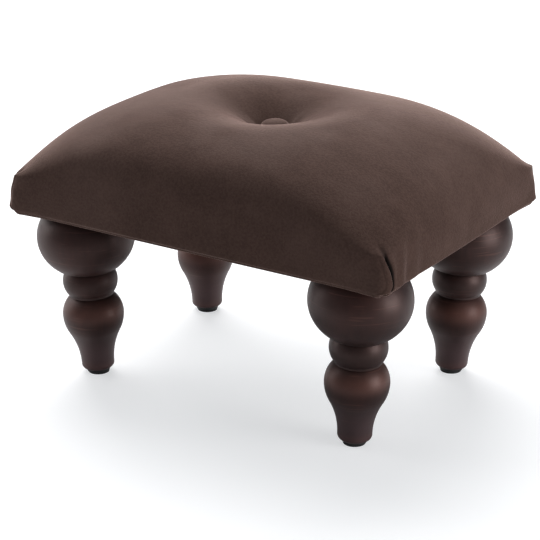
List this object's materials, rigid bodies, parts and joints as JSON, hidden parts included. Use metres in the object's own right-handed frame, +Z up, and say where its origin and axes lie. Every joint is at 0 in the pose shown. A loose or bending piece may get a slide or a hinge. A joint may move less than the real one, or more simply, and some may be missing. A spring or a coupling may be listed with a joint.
{
  "type": "upholstered footstool",
  "caption": "Low rectangular footstool: a crowned fabric cushion with a tufted button, on turned bun legs, to rest the feet on.",
  "frame": {"origin": "on the floor, under the middle of the stool", "axes": "+X along the long side, +Y towards the back, +Z up"},
  "size_m": [0.367, 0.267, 0.243],
  "materials": {
    "leg_wood": "satin",
    "frame_wood": "matte",
    "plywood": "matte",
    "cover_fabric": "matte",
    "foam": "matte",
    "wadding": "matte",
    "dust_cloth": "matte",
    "zinc_steel": "satin",
    "staple_steel": "satin",
    "button_metal": "satin",
    "glide_plastic": "matte",
    "twine": "matte"
  },
  "bodies": {
    "root": {"back_rail": "frame_wood", "button_back": "zinc_steel", "button_cover": "cover_fabric", "button_eye": "zinc_steel", "button_shell": "button_metal", "corner_block_back_left": "frame_wood", "corner_block_back_right": "frame_wood", "corner_block_front_left": "frame_wood", "corner_block_front_right": "frame_wood", "corner_block_screws": "zinc_steel", "cover_staples": "staple_steel", "deck_panel": "plywood", "deck_screws": "zinc_steel", "dust_cover": "dust_cloth", "dust_cover_staples": "staple_steel", "fabric_cover": "cover_fabric", "foam_block": "foam", "front_rail": "frame_wood", "glide_back_left": "glide_plastic", "glide_back_right": "glide_plastic", "glide_front_left": "glide_plastic", "glide_front_right": "glide_plastic", "glide_nails": "zinc_steel", "hanger_bolt_back_left": "zinc_steel", "hanger_bolt_back_right": "zinc_steel", "hanger_bolt_front_left": "zinc_steel", "hanger_bolt_front_right": "zinc_steel", "left_rail": "frame_wood", "leg_back_left": "leg_wood", "leg_back_right": "leg_wood", "leg_front_left": "leg_wood", "leg_front_right": "leg_wood", "rail_nails": "zinc_steel", "right_rail": "frame_wood", "t_nut_back_left": "zinc_steel", "t_nut_back_right": "zinc_steel", "t_nut_front_left": "zinc_steel", "t_nut_front_right": "zinc_steel", "tufting_twine": "twine", "twine_washer": "zinc_steel", "wadding": "wadding"}
  },
  "joints": []
}
